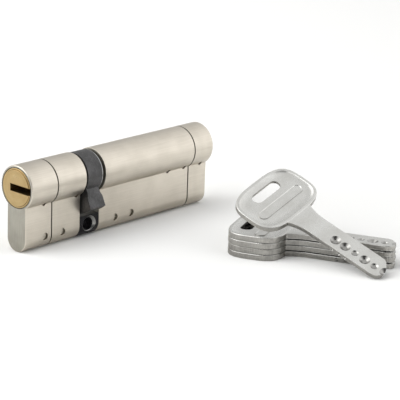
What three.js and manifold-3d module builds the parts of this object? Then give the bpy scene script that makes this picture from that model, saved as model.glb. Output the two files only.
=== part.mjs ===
// Euro-profile double lock cylinder with a modular body, and its five dimple keys.
// Millimetres, +Z up. The origin is where the axis of the M5 fixing screw crosses the middle plane of
// the cam gap. +X runs along the barrel to the long rear half, and the web hangs below the barrel.
// Both halves are one design: the front half is the rear one's pattern turned half way round Z.

import * as THREE from "three";
import { mergeVertices } from "three/addons/utils/BufferGeometryUtils.js";
import Module from "manifold-3d";

const wasm = await Module();
wasm.setup();

// ---- Driving dimensions ----

// Profile of the body, the standard euro section
const BARREL_RADIUS = 8.5;
const AXIS_TO_FOOT = 24.5; // from the plugs' axis down to the web's foot
const WEB_WIDTH = 10; // the web's lower edge is a half round of this width

// Body halves, measured from the middle plane of the cam gap
const FRONT_LENGTH = 32.5;
const REAR_LENGTH = 65;
const CAM_GAP = 10;
const END_CHAMFER = 0.5;
const SNAP_GROOVE_WIDTH = 0.6;
const SNAP_GROOVE_DEPTH = 1;
const FRONT_GROOVE_IN = 13; // from the half's outer end
const REAR_GROOVE_IN = 10.6;

// Connecting bar, its cross pins and the fixing screw's hole
const TONGUE_WIDTH = 4;
const TONGUE_HEIGHT = 6.4;
const TONGUE_END_WALL = 4.1; // left between the tongue's end and the front half's outer face
const BAR_PIN_RADIUS = 1.5;
const BAR_PIN_PLACES = [13.8, 22.6];
const BAR_PIN_RECESS = 0.35;
const SCREW_HOLE_RADIUS = 2.5;
const SCREW_MOUTH_RADIUS = 3.9;
const SCREW_MOUTH_DEPTH = 1.4;

// Plugs
const PLUG_RADIUS = 6.5;
const HEAD_RADIUS = 7.45;
const HEAD_THICKNESS = 1.8;
const HEAD_PROUD = 0.45;
const HEAD_CHAMFER = 0.3;
const SPIGOT_RADIUS = 5;
const KEYWAY_HEIGHT = 2.8;
const KEYWAY_WALL = 2.9; // from the plug's axis to the keyway's closed side

// Cam
const CAM_RING_RADIUS = 8.2;
const CAM_END_PLAY = 0.9; // left between the rear clip and the rear half
const CAM_TIP_RADIUS = 15.3;
const CAM_FLOOR_ROOM = 0.5;
const CAM_SWING = 26; // degrees from straight down towards -Y
const LEVER_THICKNESS = 8.2;
const LEVER_NECK_INSET = 0.7;
const LEVER_SHOULDER = 2.6; // from the ring to the lever's full width

// Clutch between the plugs and the cam
const CLIP_THICKNESS = 0.5;
const CLIP_RADIUS = 8;
const CLIP_GROOVE_DEPTH = 0.5;
const DISC_THICKNESS = 1.6;
const DISC_GAP = 0.3;
const DRIVE_TONGUE_LENGTH = 3.1;
const DRIVE_TONGUE_WIDTH = 2.6;
const DRIVE_TONGUE_HALF_HEIGHT = 3.5;
const CAM_TOOTH_WIDTH = 2.4;
const CAM_TOOTH_TIP = 3.8;
const ROD_RADIUS = 1.45;
const LONGEST_STEM = 10;

// Pin stacks under the plugs
const PINS_PER_HALF = 5;
const PIN_PITCH = 4.5;
const FIRST_PIN_IN = 6.2; // from the half's outer end
const PIN_RADIUS = 1.45;
const PIN_NOSE_RADIUS = 1;
const KEY_PIN_TOP = 3; // depth below the plug's axis of the key pin's shoulder
const KEY_PIN_TIP = 0.9;
const KEY_PIN_TRAVEL = 1.2;
const DRIVER_LENGTH = 3;
const SPRING_LENGTH = 4.3;
const SPRING_WIRE = 0.36;
const SPRING_TURNS = 4;

// Keys
const KEY_THICKNESS = 2.2;
const KEY_INSERTION = 29; // blade length inside the lock, from the plug's face to the key's tip
const KEY_NECK = 11.3; // from the bow to the plug's face
const BOW_LENGTH = 22.2;
const BOW_WIDTH = 31;
const BOW_FULLNESS = 3.4; // exponent of the rounded square
const BOW_SLOT_PLACE = 6.1;
const BOW_SLOT_WIDTH = 4.6;
const BOW_SLOT_LENGTH = 14;
const NECK_WIDTH = 12.8;
const BLADE_WIDTH = 9.2;
const TIP_TAPER = 4;
const TIP_WIDTH = 4.4;
const DIMPLE_RADIUS = 1.7;
const DIMPLE_FLOOR_RADIUS = 0.6;
const DIMPLE_DEPTH = 0.7;
const DIMPLE_LINE = -0.9; // off the blade's centre line

// Where the keys lie
const STACK_COUNT = 4;
const STACK_GAP = 0.08;
const STACK_PLACE = [35.7, -46.9];
const STACK_HEADING = -66.9; // degrees
const STACK_TWISTS = [0, 0.5, -0.4, 0]; // degrees, bottom key first
const LEAN_CROSSING = [44.4, -92.8]; // where the leaning key's blade passes over the stack's edge
const LEAN_SPAN = 18.6; // along the leaning key, from its tip to that crossing
const LEAN_SINK = 2.76; // of the rolled key's middle line there, below the stack's top
const LEAN_HEADING = -83.7;
const LEAN_ROLL = 21.6;
const LEAN_TIP_LIFT = 0.8; // of the tip's middle, because its rolled edge is what touches down

// Clearances
const RUNNING = 0.1; // round a piece that turns or slides
const SEATED = 0.05; // round a piece pressed or trapped in place
const SIDE_ROOM = 0.2; // between faces that pass each other

// Facets
const BARREL_SIDES = 32;
const FOOT_SIDES = 12;
const HOLE_SIDES = 16;
const SMALL_SIDES = 10;
const DIMPLE_SIDES = 6;
const BOW_SIDES = 32;

// ---- Derived places ----

const PROFILE_HEIGHT = BARREL_RADIUS + AXIS_TO_FOOT;
const AXIS_HEIGHT = AXIS_TO_FOOT - WEB_WIDTH / 2; // plugs' axis above the screw
const UNDERSIDE = -WEB_WIDTH / 2;
const GAP_FACE = CAM_GAP / 2;
const TONGUE_REACH = FRONT_LENGTH - TONGUE_END_WALL;
const BRIDGE_TOP = AXIS_HEIGHT - CAM_TIP_RADIUS - CAM_FLOOR_ROOM;
const CAM_WIDTH = CAM_GAP - CAM_END_PLAY - 2 * (CLIP_THICKNESS + 2 * RUNNING);
const CAM_OFFSET = -CAM_END_PLAY / 2;
const BORE_RADIUS = PLUG_RADIUS + RUNNING;
const HEAD_BACK = HEAD_THICKNESS - HEAD_PROUD; // how far the head sits inside the body
const COUPLING_TRAVEL = DISC_THICKNESS + DISC_GAP;
const SPIGOT_END = DISC_THICKNESS / 2 + COUPLING_TRAVEL + SIDE_ROOM;
const TONGUE_POCKET_END = DISC_THICKNESS / 2 + COUPLING_TRAVEL + DRIVE_TONGUE_LENGTH + SIDE_ROOM;
const CHAMBER_RADIUS = PIN_RADIUS + RUNNING;
const DRIVER_TOP = AXIS_HEIGHT - BORE_RADIUS;
const DRIVER_FOOT = DRIVER_TOP - DRIVER_LENGTH;
const CHAMBER_FLOOR = DRIVER_FOOT - SPRING_LENGTH - 2 * SEATED;
const KEY_LENGTH = BOW_LENGTH + KEY_NECK + KEY_INSERTION;
const STACK_PITCH = KEY_THICKNESS + STACK_GAP;
const OVERCUT = 0.2; // how far a cutting tool stands out of the face it cuts

// ---- Materials ----

const finish = (color, roughness, metalness) =>
  new THREE.MeshStandardMaterial({ color, roughness, metalness });
const satinNickel = finish(0xc8c3b9, 0.42, 1);
const plugBrass = finish(0xc9ae75, 0.34, 1);
const pinBrass = finish(0xb99a5c, 0.4, 1);
const blackSteel = finish(0x1c1c1e, 0.5, 0.6);
const sinteredSteel = finish(0x4a4a4d, 0.55, 0.7);
const springSteel = finish(0xb4b6b8, 0.3, 1);
const nickelSilver = finish(0xd9d8d2, 0.28, 1);

// ---- Solids: three.js geometry in, manifold-3d joins and cuts, three.js mesh out ----

const alongX = new THREE.Matrix4().makeBasis(
  new THREE.Vector3(0, 1, 0),
  new THREE.Vector3(0, 0, 1),
  new THREE.Vector3(1, 0, 0),
);
const alongY = new THREE.Matrix4().makeBasis(
  new THREE.Vector3(1, 0, 0),
  new THREE.Vector3(0, 0, 1),
  new THREE.Vector3(0, -1, 0),
);

function solid(geometry) {
  const bare = geometry.clone();
  bare.deleteAttribute("normal");
  bare.deleteAttribute("uv");
  const merged = mergeVertices(bare, 1e-4);
  const corners = [];
  for (let i = 0; i < merged.index.count; i += 3) {
    const [a, b, c] = merged.index.array.slice(i, i + 3);
    if (a !== b && b !== c && c !== a) corners.push(a, b, c);
  }
  return new wasm.Manifold(
    new wasm.Mesh({
      numProp: 3,
      vertProperties: new Float32Array(merged.attributes.position.array),
      triVerts: new Uint32Array(corners),
    }),
  );
}

function mesh(name, material, body, turned = 0) {
  const { vertProperties, triVerts } = body.getMesh();
  const geometry = new THREE.BufferGeometry()
    .setAttribute("position", new THREE.BufferAttribute(vertProperties, 3))
    .setIndex(new THREE.BufferAttribute(triVerts, 1));
  geometry.computeVertexNormals();
  const part = new THREE.Mesh(geometry, material);
  part.name = name;
  part.rotation.z = turned;
  return part;
}

const joined = (first, ...others) => others.reduce((all, next) => all.add(next), first);
const cut = (blank, ...tools) => tools.reduce((left, tool) => left.subtract(tool), blank);

function block([x0, x1], [y0, y1], [z0, z1]) {
  const box = new THREE.BoxGeometry(x1 - x0, y1 - y0, z1 - z0);
  return solid(box.translate((x0 + x1) / 2, (y0 + y1) / 2, (z0 + z1) / 2));
}

// Bars of round section, along X at a height, along Y through a place, and upright
function barX(radius, x0, x1, z = AXIS_HEIGHT, sides = BARREL_SIDES) {
  const bar = new THREE.CylinderGeometry(radius, radius, x1 - x0, sides);
  return solid(bar.rotateZ(Math.PI / 2).translate((x0 + x1) / 2, 0, z));
}

function barY(radius, y0, y1, x, endRadius = radius) {
  const bar = new THREE.CylinderGeometry(endRadius, radius, y1 - y0, HOLE_SIDES);
  return solid(bar.translate(x, (y0 + y1) / 2, 0));
}

function barZ(radius, z0, z1, x, topRadius = radius, y = 0, sides = SMALL_SIDES) {
  const bar = new THREE.CylinderGeometry(topRadius, radius, z1 - z0, sides);
  return solid(bar.rotateX(Math.PI / 2).translate(x, y, (z0 + z1) / 2));
}

// A turned piece round the plug's axis, from [x, radius] points that start and end on the axis
function turnedX(points) {
  const profile = points.map(([x, radius]) => new THREE.Vector2(radius, x));
  const lathe = new THREE.LatheGeometry(profile, BARREL_SIDES);
  return solid(lathe.rotateZ(-Math.PI / 2).translate(0, 0, AXIS_HEIGHT));
}

// A turned piece on an upright axis, from [radius, z] points
function turnedZ(points, x) {
  const profile = points.map(([radius, z]) => new THREE.Vector2(radius, z));
  const lathe = new THREE.LatheGeometry(profile, SMALL_SIDES);
  return solid(lathe.rotateX(Math.PI / 2).translate(x, 0, 0));
}

function extruded(shape, depth, options = {}) {
  const flat = { depth, steps: 1, bevelEnabled: false, curveSegments: 6, ...options };
  return new THREE.ExtrudeGeometry(shape, flat);
}

// ---- Body halves ----

// The euro section: barrel above, parallel web, half-round foot, all moved in by inset
function profileShape(inset) {
  const radius = BARREL_RADIUS - inset;
  const half = WEB_WIDTH / 2 - inset;
  const join = Math.asin(half / radius); // from straight down to where the web leaves the barrel
  const barrel = new THREE.ArcCurve(0, AXIS_HEIGHT, radius, join - Math.PI / 2, 1.5 * Math.PI - join);
  const foot = new THREE.ArcCurve(0, 0, half, Math.PI, 2 * Math.PI);
  return new THREE.Shape([...barrel.getPoints(BARREL_SIDES), ...foot.getPoints(FOOT_SIDES)]);
}

function profileBar(x0, x1, inset = 0) {
  const bar = extruded(profileShape(inset), x1 - x0);
  return solid(bar.applyMatrix4(alongX).translate(x0, 0, 0));
}

// The same bar with its outer edge chamfered at x1
function chamferedBar(x0, x1) {
  const bar = extruded(profileShape(0), x1 - x0, {
    bevelEnabled: true,
    bevelSegments: 1,
    bevelSize: END_CHAMFER,
    bevelThickness: END_CHAMFER,
    bevelOffset: -END_CHAMFER,
  });
  const long = solid(bar.applyMatrix4(alongX).translate(x0 - END_CHAMFER, 0, 0));
  const room = PROFILE_HEIGHT;
  return cut(long, block([x0 - room, x0], [-room, room], [-room, room]));
}

const pinPlaces = (length) =>
  Array.from({ length: PINS_PER_HALF }, (_, i) => length - FIRST_PIN_IN - i * PIN_PITCH);

function bodyHalf(length, grooveIn) {
  const blank = chamferedBar(GAP_FACE, length);
  const groove = [length - grooveIn - SNAP_GROOVE_WIDTH / 2, length - grooveIn + SNAP_GROOVE_WIDTH / 2];
  const collar = cut(
    block(groove, [-PROFILE_HEIGHT, PROFILE_HEIGHT], [-PROFILE_HEIGHT, PROFILE_HEIGHT]),
    profileBar(groove[0] - 1, groove[1] + 1, SNAP_GROOVE_DEPTH),
  );
  const slotY = TONGUE_WIDTH / 2 + RUNNING;
  const slotZ = TONGUE_HEIGHT / 2 + RUNNING;
  return cut(
    blank,
    collar,
    barX(BORE_RADIUS, 0, length + 1),
    barX(HEAD_RADIUS + RUNNING, length - HEAD_BACK - RUNNING, length + 1),
    block([0, TONGUE_REACH + RUNNING], [-slotY, slotY], [-slotZ, slotZ]),
    ...BAR_PIN_PLACES.map((x) => barY(BAR_PIN_RADIUS + RUNNING, -WEB_WIDTH, WEB_WIDTH, x)),
    ...pinPlaces(length).map((x) => barZ(CHAMBER_RADIUS, UNDERSIDE - 1, AXIS_HEIGHT, x)),
  );
}

// ---- Plugs ----

// A brass plug in the half's own direction, its head outwards. The keyway is open on the +Y side, and
// the pocket in the spigot takes the coupling's tongue.
function plug(length, clip) {
  const face = length + HEAD_PROUD;
  const headBack = length - HEAD_BACK;
  const clipRadius = SPIGOT_RADIUS - CLIP_GROOVE_DEPTH;
  const tip = face - KEY_INSERTION;
  const blank = turnedX([
    [SPIGOT_END, 0],
    [SPIGOT_END, SPIGOT_RADIUS],
    [clip - SEATED, SPIGOT_RADIUS],
    [clip - SEATED, clipRadius],
    [clip + CLIP_THICKNESS + SEATED, clipRadius],
    [clip + CLIP_THICKNESS + SEATED, SPIGOT_RADIUS],
    [GAP_FACE + RUNNING, SPIGOT_RADIUS],
    [GAP_FACE + RUNNING, PLUG_RADIUS],
    [headBack, PLUG_RADIUS],
    [headBack, HEAD_RADIUS],
    [face - HEAD_CHAMFER, HEAD_RADIUS],
    [face, HEAD_RADIUS - HEAD_CHAMFER],
    [face, 0],
  ]);
  const keyZ = [AXIS_HEIGHT - KEYWAY_HEIGHT / 2, AXIS_HEIGHT + KEYWAY_HEIGHT / 2];
  const noseY = TIP_WIDTH / 2 + SIDE_ROOM;
  const pocketY = DRIVE_TONGUE_WIDTH / 2 + RUNNING;
  const pocketZ = DRIVE_TONGUE_HALF_HEIGHT + RUNNING;
  const ledge = AXIS_HEIGHT - KEY_PIN_TOP + KEY_PIN_TRAVEL + RUNNING;
  return cut(
    blank,
    block([tip + TIP_TAPER / 2, face + 1], [-KEYWAY_WALL, HEAD_RADIUS + 1], keyZ),
    block([tip - SIDE_ROOM, face], [-noseY, noseY], keyZ),
    barX(ROD_RADIUS + RUNNING, 0, tip, AXIS_HEIGHT, SMALL_SIDES),
    block([0, TONGUE_POCKET_END], [-pocketY, pocketY], [AXIS_HEIGHT - pocketZ, AXIS_HEIGHT + pocketZ]),
    ...pinPlaces(length).flatMap((x) => [
      barZ(CHAMBER_RADIUS, AXIS_HEIGHT - BORE_RADIUS, ledge, x),
      barZ(PIN_NOSE_RADIUS + RUNNING, AXIS_HEIGHT - BORE_RADIUS, AXIS_HEIGHT, x),
    ]),
  );
}

// ---- Connecting bar ----

function connectingBar() {
  const faces = GAP_FACE - SEATED;
  const bridge = cut(
    profileBar(-faces, faces),
    block([-CAM_GAP, CAM_GAP], [-PROFILE_HEIGHT, PROFILE_HEIGHT], [BRIDGE_TOP, PROFILE_HEIGHT]),
  );
  const tongueY = [-TONGUE_WIDTH / 2, TONGUE_WIDTH / 2];
  const tongueZ = [-TONGUE_HEIGHT / 2, TONGUE_HEIGHT / 2];
  const flank = WEB_WIDTH / 2;
  const mouthSlope = (SCREW_MOUTH_RADIUS - SCREW_HOLE_RADIUS) / SCREW_MOUTH_DEPTH;
  const mouthOut = SCREW_MOUTH_RADIUS + mouthSlope * OVERCUT;
  return cut(
    joined(bridge, block([-TONGUE_REACH, TONGUE_REACH], tongueY, tongueZ)),
    barY(SCREW_HOLE_RADIUS, -WEB_WIDTH, WEB_WIDTH, 0),
    barY(mouthOut, -flank - OVERCUT, SCREW_MOUTH_DEPTH - flank, 0, SCREW_HOLE_RADIUS),
    barY(SCREW_HOLE_RADIUS, flank - SCREW_MOUTH_DEPTH, flank + OVERCUT, 0, mouthOut),
    ...BAR_PIN_PLACES.flatMap((x) => [
      barY(BAR_PIN_RADIUS + RUNNING, -WEB_WIDTH, WEB_WIDTH, x),
      barY(BAR_PIN_RADIUS + RUNNING, -WEB_WIDTH, WEB_WIDTH, -x),
    ]),
  );
}

// ---- Cam, clips and coupling ----

// The ring with two drive teeth in its bore, and the lever that throws the bolt
function cam() {
  const from = CAM_OFFSET - CAM_WIDTH / 2;
  const to = CAM_OFFSET + CAM_WIDTH / 2;
  const boreRadius = SPIGOT_RADIUS + 2 * RUNNING;
  const toothZone = DISC_THICKNESS / 2 + RUNNING;
  const overlap = 1;
  const ring = cut(barX(CAM_RING_RADIUS, from, to), barX(boreRadius, from - 1, to + 1));
  const teeth = [-1, 1].map((way) => {
    const inner = AXIS_HEIGHT + way * CAM_TOOTH_TIP;
    const outer = AXIS_HEIGHT + way * (boreRadius + overlap);
    const half = CAM_TOOTH_WIDTH / 2;
    return block([-toothZone, toothZone], [-half, half], [Math.min(inner, outer), Math.max(inner, outer)]);
  });

  // Seen along X: straight flanks and a tip on the lever's circle
  const half = LEVER_THICKNESS / 2;
  const tipAngle = Math.asin(half / CAM_TIP_RADIUS);
  const flanks = new THREE.Shape();
  flanks.moveTo(-half, -boreRadius - overlap);
  flanks.absarc(0, 0, CAM_TIP_RADIUS, 1.5 * Math.PI - tipAngle, 1.5 * Math.PI + tipAngle);
  flanks.lineTo(half, -boreRadius - overlap);
  // Seen from the side: a narrower neck that widens to the ring's own width
  const neckFrom = from + LEVER_NECK_INSET;
  const neckTo = to - LEVER_NECK_INSET;
  const shoulder = -CAM_RING_RADIUS - LEVER_SHOULDER;
  const face = new THREE.Shape();
  face.moveTo(neckFrom, 0);
  face.lineTo(neckFrom, -CAM_RING_RADIUS - LEVER_NECK_INSET);
  face.lineTo(from, shoulder);
  face.lineTo(from, -CAM_TIP_RADIUS - 1);
  face.lineTo(to, -CAM_TIP_RADIUS - 1);
  face.lineTo(to, shoulder);
  face.lineTo(neckTo, -CAM_RING_RADIUS - LEVER_NECK_INSET);
  face.lineTo(neckTo, 0);
  const swing = THREE.MathUtils.degToRad(-CAM_SWING);
  const place = (geometry) => solid(geometry.rotateX(swing).translate(0, 0, AXIS_HEIGHT));
  const along = extruded(flanks, CAM_WIDTH).applyMatrix4(alongX).translate(from, 0, 0);
  const across = extruded(face, 2 * LEVER_THICKNESS).applyMatrix4(alongY);
  const lever = place(along).intersect(place(across.translate(0, LEVER_THICKNESS, 0)));
  return joined(ring, ...teeth, lever);
}

// An open retaining ring in the groove of a plug's spigot
function clip(at) {
  const inner = SPIGOT_RADIUS - CLIP_GROOVE_DEPTH + SEATED;
  const opening = THREE.MathUtils.degToRad(32);
  const start = opening - Math.PI / 2;
  const end = 1.5 * Math.PI - opening;
  const shape = new THREE.Shape();
  shape.absarc(0, AXIS_HEIGHT, CLIP_RADIUS, start, end);
  shape.absarc(0, AXIS_HEIGHT, inner, end, start, true);
  const ring = extruded(shape, CLIP_THICKNESS, { curveSegments: BARREL_SIDES / 4 });
  return solid(ring.applyMatrix4(alongX).translate(at, 0, 0));
}

// A notched disc, which drives the cam's teeth, with a tongue that always stays in its plug's pocket,
// and a stem where the tongue alone stops short of the key
function coupling(centre, stemTo) {
  const half = DISC_THICKNESS / 2;
  const notchHalf = CAM_TOOTH_WIDTH / 2 + RUNNING;
  const notchFloor = CAM_TOOTH_TIP - RUNNING;
  const tongueHalf = DRIVE_TONGUE_WIDTH / 2;
  const zone = [centre - DISC_THICKNESS, centre + DISC_THICKNESS];
  const tongueTo = centre + half + DRIVE_TONGUE_LENGTH;
  const stem = stemTo > tongueTo ? [barX(ROD_RADIUS, centre, stemTo, AXIS_HEIGHT, SMALL_SIDES)] : [];
  return joined(
    cut(
      barX(SPIGOT_RADIUS, centre - half, centre + half, AXIS_HEIGHT, 32),
      block(zone, [-notchHalf, notchHalf], [AXIS_HEIGHT + notchFloor, AXIS_HEIGHT + BARREL_RADIUS]),
      block(zone, [-notchHalf, notchHalf], [AXIS_HEIGHT - BARREL_RADIUS, AXIS_HEIGHT - notchFloor]),
    ),
    block(
      [centre, tongueTo],
      [-tongueHalf, tongueHalf],
      [AXIS_HEIGHT - DRIVE_TONGUE_HALF_HEIGHT, AXIS_HEIGHT + DRIVE_TONGUE_HALF_HEIGHT],
    ),
    ...stem,
  );
}

// ---- Pin stacks ----

function keyPin(x) {
  const foot = AXIS_HEIGHT - PLUG_RADIUS + SIDE_ROOM;
  const shoulder = AXIS_HEIGHT - KEY_PIN_TOP;
  const tip = AXIS_HEIGHT - KEY_PIN_TIP;
  const point = PIN_NOSE_RADIUS / 2;
  return turnedZ(
    [
      [0, foot],
      [PIN_RADIUS, foot],
      [PIN_RADIUS, shoulder],
      [PIN_NOSE_RADIUS, shoulder],
      [PIN_NOSE_RADIUS, tip - point],
      [point, tip],
      [0, tip],
    ],
    x,
  );
}

// Every second driver has a waist, which makes the lock harder to pick
function driver(x, waisted) {
  const waist = waisted ? PIN_RADIUS - 0.35 : PIN_RADIUS;
  const flange = DRIVER_LENGTH / 4;
  return turnedZ(
    [
      [0, DRIVER_FOOT],
      [PIN_RADIUS, DRIVER_FOOT],
      [PIN_RADIUS, DRIVER_FOOT + flange],
      [waist, DRIVER_FOOT + 1.5 * flange],
      [waist, DRIVER_TOP - 1.5 * flange],
      [PIN_RADIUS, DRIVER_TOP - flange],
      [PIN_RADIUS, DRIVER_TOP],
      [0, DRIVER_TOP],
    ],
    x,
  );
}

class Helix extends THREE.Curve {
  constructor(radius, bottom, top, x) {
    super();
    Object.assign(this, { radius, bottom, top, x });
  }
  getPoint(t, target = new THREE.Vector3()) {
    const angle = 2 * Math.PI * SPRING_TURNS * t;
    const height = this.bottom + (this.top - this.bottom) * t;
    return target.set(this.x + this.radius * Math.cos(angle), this.radius * Math.sin(angle), height);
  }
}

function spring(x) {
  const wire = SPRING_WIRE / 2;
  const path = new Helix(
    CHAMBER_RADIUS - SPRING_WIRE,
    CHAMBER_FLOOR + SEATED + wire,
    DRIVER_FOOT - SEATED - wire,
    x,
  );
  const section = new THREE.Shape().absarc(0, 0, wire, 0, 2 * Math.PI);
  const steps = 6 * SPRING_TURNS;
  return solid(new THREE.ExtrudeGeometry(section, { extrudePath: path, steps, curveSegments: 2 }));
}

// Over the bar's tongue a plug is short, and past it the plug fills the drilling to the underside
function chamberPlug(x) {
  const overTongue = x < TONGUE_REACH + CHAMBER_RADIUS;
  const foot = overTongue ? TONGUE_HEIGHT / 2 + RUNNING + SIDE_ROOM : UNDERSIDE + SIDE_ROOM + RUNNING;
  return barZ(CHAMBER_RADIUS - SEATED, foot, CHAMBER_FLOOR, x);
}

// ---- Keys ----

// The key's outline, from the bow's end at x = 0 to the tip, and its cuts. Its top face is at z = 0.
function key() {
  const bowHalf = [BOW_LENGTH / 2, BOW_WIDTH / 2];
  const bowPoint = (angle) => {
    const [c, s] = [Math.cos(angle), Math.sin(angle)];
    const power = 2 / BOW_FULLNESS;
    return new THREE.Vector2(
      bowHalf[0] + bowHalf[0] * Math.sign(c) * Math.abs(c) ** power,
      bowHalf[1] * Math.sign(s) * Math.abs(s) ** power,
    );
  };
  const bow = new THREE.Shape(
    Array.from({ length: BOW_SIDES }, (_, i) => bowPoint((2 * Math.PI * (i + 0.5)) / BOW_SIDES)),
  );
  const slotHalf = (BOW_SLOT_LENGTH - BOW_SLOT_WIDTH) / 2;
  const slotRadius = BOW_SLOT_WIDTH / 2;
  const slot = new THREE.Path();
  slot.absarc(BOW_SLOT_PLACE, slotHalf, slotRadius, 0, Math.PI);
  slot.absarc(BOW_SLOT_PLACE, -slotHalf, slotRadius, Math.PI, 2 * Math.PI);
  bow.holes.push(slot);

  const bladeHalf = BLADE_WIDTH / 2;
  const neckHalf = NECK_WIDTH / 2;
  const neckEnd = BOW_LENGTH + 0.7 * KEY_NECK;
  const blade = new THREE.Shape();
  blade.moveTo(BOW_LENGTH - 2, -neckHalf);
  blade.lineTo(BOW_LENGTH, -neckHalf);
  blade.quadraticCurveTo(neckEnd - 0.3 * KEY_NECK, -bladeHalf, neckEnd, -bladeHalf);
  blade.lineTo(KEY_LENGTH - TIP_TAPER, -bladeHalf);
  blade.lineTo(KEY_LENGTH, -TIP_WIDTH / 2);
  blade.lineTo(KEY_LENGTH, TIP_WIDTH / 2);
  blade.lineTo(KEY_LENGTH - TIP_TAPER, bladeHalf);
  blade.lineTo(neckEnd, bladeHalf);
  blade.quadraticCurveTo(neckEnd - 0.3 * KEY_NECK, bladeHalf, BOW_LENGTH, neckHalf);
  blade.lineTo(BOW_LENGTH - 2, neckHalf);

  const plate = (shape) =>
    solid(extruded(shape, KEY_THICKNESS).translate(0, 0, -KEY_THICKNESS));
  const dimpleSlope = (DIMPLE_RADIUS - DIMPLE_FLOOR_RADIUS) / DIMPLE_DEPTH;
  const dimpleOut = DIMPLE_RADIUS + dimpleSlope * OVERCUT;
  const firstDimple = BOW_LENGTH + KEY_NECK + HEAD_PROUD + FIRST_PIN_IN;
  const dimples = Array.from({ length: PINS_PER_HALF }, (_, i) => {
    const x = firstDimple + i * PIN_PITCH;
    const under = -KEY_THICKNESS;
    const floor = under + DIMPLE_DEPTH;
    return [
      barZ(DIMPLE_FLOOR_RADIUS, -DIMPLE_DEPTH, OVERCUT, x, dimpleOut, DIMPLE_LINE, DIMPLE_SIDES),
      barZ(dimpleOut, under - OVERCUT, floor, x, DIMPLE_FLOOR_RADIUS, -DIMPLE_LINE, DIMPLE_SIDES),
    ];
  });
  return cut(joined(plate(bow), plate(blade)), ...dimples.flat());
}

function placedKey(name, place, height, [roll, pitch, heading]) {
  const part = mesh(name, nickelSilver, key());
  part.position.set(...place, height);
  part.rotation.set(roll, pitch, heading, "ZYX");
  return part;
}

// ---- Assembly ----

const lock = new THREE.Group();

const clipFromCam = CAM_WIDTH / 2 + RUNNING;
const halves = [
  {
    side: "front",
    length: FRONT_LENGTH,
    grooveIn: FRONT_GROOVE_IN,
    clipAt: clipFromCam - CAM_OFFSET,
    couplingAt: 0,
    turned: Math.PI,
  },
  {
    side: "rear",
    length: REAR_LENGTH,
    grooveIn: REAR_GROOVE_IN,
    clipAt: clipFromCam + CAM_OFFSET,
    couplingAt: COUPLING_TRAVEL,
    turned: 0,
  },
];

for (const { side, length, grooveIn, clipAt, couplingAt, turned } of halves) {
  const add = (name, material, body) => lock.add(mesh(`${side}_${name}`, material, body, turned));
  add("body", satinNickel, bodyHalf(length, grooveIn));
  add("plug", plugBrass, plug(length, clipAt));
  add("clip", springSteel, clip(clipAt));

  // The key pushes the coupling by its tongue or stem, or in a long plug through a separate rod
  const pushedAt = length + HEAD_PROUD - KEY_INSERTION - RUNNING;
  const rodFrom = couplingAt + DISC_THICKNESS / 2 + DRIVE_TONGUE_LENGTH + RUNNING;
  const hasRod = pushedAt - rodFrom > LONGEST_STEM;
  add("coupling", sinteredSteel, coupling(couplingAt, hasRod ? 0 : pushedAt));
  if (hasRod) {
    add("push_rod", sinteredSteel, barX(ROD_RADIUS, rodFrom, pushedAt, AXIS_HEIGHT, SMALL_SIDES));
  }

  pinPlaces(length).forEach((x, i) => {
    add(`key_pin_${i + 1}`, pinBrass, keyPin(x));
    add(`driver_${i + 1}`, sinteredSteel, driver(x, i % 2 === 1));
    add(`pin_spring_${i + 1}`, springSteel, spring(x));
    add(`chamber_plug_${i + 1}`, pinBrass, chamberPlug(x));
  });
}

lock.add(mesh("connecting_bar", blackSteel, connectingBar()));
lock.add(mesh("cam", sinteredSteel, cam()));

const barPinEnd = WEB_WIDTH / 2 - BAR_PIN_RECESS;
for (const x of BAR_PIN_PLACES) {
  const number = BAR_PIN_PLACES.indexOf(x) + 1;
  lock.add(mesh(`front_bar_pin_${number}`, satinNickel, barY(BAR_PIN_RADIUS, -barPinEnd, barPinEnd, -x)));
  lock.add(mesh(`rear_bar_pin_${number}`, satinNickel, barY(BAR_PIN_RADIUS, -barPinEnd, barPinEnd, x)));
}

// Four keys lie in a stack, and the fifth leans on it with its tip down in front
const radians = THREE.MathUtils.degToRad;
for (let i = 0; i < STACK_COUNT; i++) {
  const top = UNDERSIDE + i * STACK_PITCH + KEY_THICKNESS;
  lock.add(placedKey(`key_${i + 1}`, STACK_PLACE, top, [0, 0, radians(STACK_HEADING + STACK_TWISTS[i])]));
}
const stackHeight = STACK_COUNT * STACK_PITCH;
const leanPitch = Math.asin((stackHeight - LEAN_SINK) / LEAN_SPAN);
const leanTop = UNDERSIDE + KEY_THICKNESS + KEY_LENGTH * Math.sin(leanPitch) + LEAN_TIP_LIFT;
const leanHeading = radians(LEAN_HEADING);
const leanReach = (KEY_LENGTH - LEAN_SPAN) * Math.cos(leanPitch);
const leanPlace = [
  LEAN_CROSSING[0] - leanReach * Math.cos(leanHeading),
  LEAN_CROSSING[1] - leanReach * Math.sin(leanHeading),
];
const leaning = `key_${STACK_COUNT + 1}`;
lock.add(placedKey(leaning, leanPlace, leanTop, [radians(LEAN_ROLL), leanPitch, leanHeading]));

export default lock;
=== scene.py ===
import math

import bpy
from mathutils import Euler, Matrix, Vector


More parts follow.
